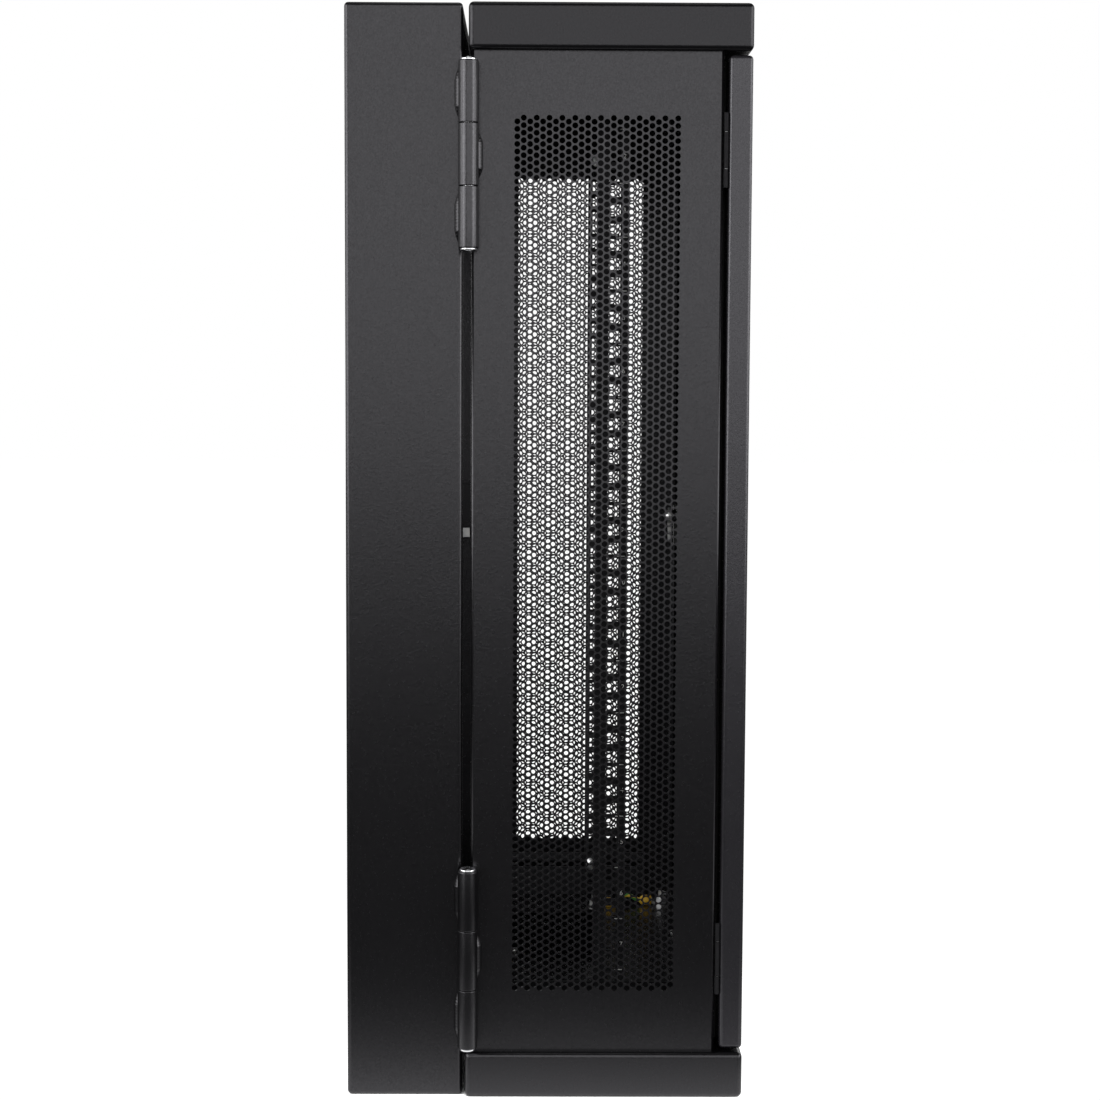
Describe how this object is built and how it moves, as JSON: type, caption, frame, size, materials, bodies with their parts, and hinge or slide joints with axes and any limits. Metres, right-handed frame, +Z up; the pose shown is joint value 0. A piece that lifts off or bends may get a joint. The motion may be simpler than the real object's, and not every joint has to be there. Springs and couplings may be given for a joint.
{
  "type": "swing-out wall-mount network rack cabinet",
  "caption": "Shallow black steel wall rack cabinet: perforated sides and door, square-hole rails, and a body that swings out on two barrel hinges from a frame fixed to the wall.",
  "frame": {"origin": "middle of the underside, where the cabinet's base rests", "axes": "-Y out of the front door, +X to the right seen from the front, +Z up"},
  "size_m": [0.6099, 0.33, 0.9],
  "materials": {
    "black_powder": "fine-texture matte black powder coat",
    "zinc_steel": "bright zinc plate",
    "chrome": "bright chrome plate",
    "black_rubber": "matte",
    "earth_lead": "yellow and green PVC insulation"
  },
  "bodies": {
    "wall_mount": {"wall_frame": "black_powder", "upper_wall_plate": "black_powder", "lower_wall_plate": "black_powder", "wall_top_cover": "black_powder", "wall_bottom_cover": "black_powder", "wall_cover_screws": "zinc_steel", "upper_outer_knuckles": "black_powder", "lower_outer_knuckles": "black_powder", "upper_hinge_pin": "chrome", "lower_hinge_pin": "chrome", "wall_hinge_welds": "black_powder", "swing_bumpers": "black_rubber", "swing_lock_body": "chrome", "swing_lock_nut": "zinc_steel"},
    "swing_lock": {"swing_lock_plug": "chrome", "swing_lock_cam": "zinc_steel", "swing_lock_screw": "zinc_steel"},
    "cabinet": {"top_cap": "black_powder", "bottom_cap": "black_powder", "top_cable_cover": "black_powder", "bottom_cable_cover": "black_powder", "cable_cover_screws": "zinc_steel", "left_side_panel": "black_powder", "right_side_panel": "black_powder", "front_frame": "black_powder", "rear_frame": "black_powder", "cap_screws": "zinc_steel", "upper_middle_knuckle": "black_powder", "lower_middle_knuckle": "black_powder", "cabinet_hinge_welds": "black_powder", "swing_keeper": "black_powder", "left_rail_brackets": "black_powder", "right_rail_brackets": "black_powder", "ground_studs": "zinc_steel", "ground_nuts": "zinc_steel", "ground_lugs": "zinc_steel", "ground_lead": "earth_lead", "upper_hinge_frame_leaf": "black_powder", "lower_hinge_frame_leaf": "black_powder", "door_hinge_pins": "zinc_steel"},
    "left_rail_set": {"left_rail": "black_powder", "left_rail_bolts": "zinc_steel", "left_rail_nuts": "zinc_steel"},
    "right_rail_set": {"right_rail": "black_powder", "right_rail_bolts": "zinc_steel", "right_rail_nuts": "zinc_steel"},
    "door": {"door_frame": "black_powder", "door_mesh": "black_powder", "door_stiffeners": "black_powder", "door_gasket": "black_rubber", "upper_hinge_door_leaf": "black_powder", "lower_hinge_door_leaf": "black_powder", "door_lock_bracket": "zinc_steel", "door_lock_body": "chrome", "door_lock_nut": "zinc_steel"},
    "door_lock": {"door_lock_plug": "chrome", "door_lock_cam": "zinc_steel", "door_lock_screw": "zinc_steel"}
  },
  "joints": [
    {"name": "cabinet_swing", "type": "hinge", "parent": "wall_mount", "child": "cabinet", "pos_m": [-0.3017, 0.0644, 0.45], "axis": [0, 0, -1], "range_deg": [0, 110]},
    {"name": "swing_lock_turn", "type": "hinge", "parent": "wall_mount", "child": "swing_lock", "pos_m": [0.28, 0.105, 0.43], "axis": [-1, 0, 0], "range_deg": [0, 90]},
    {"name": "door_swing", "type": "hinge", "parent": "cabinet", "child": "door", "pos_m": [-0.2932, -0.1437, 0.45], "axis": [0, 0, -1], "range_deg": [0, 115]},
    {"name": "door_lock_turn", "type": "hinge", "parent": "door", "child": "door_lock", "pos_m": [0.25, -0.15, 0.45], "axis": [0, -1, 0], "range_deg": [0, 90]},
    {"name": "left_rail_depth", "type": "slide", "parent": "cabinet", "child": "left_rail_set", "axis": [0, 1, 0], "range_m": [-0.045, 0.08]},
    {"name": "right_rail_depth", "type": "slide", "parent": "cabinet", "child": "right_rail_set", "axis": [0, 1, 0], "range_m": [-0.045, 0.08]}
  ]
}
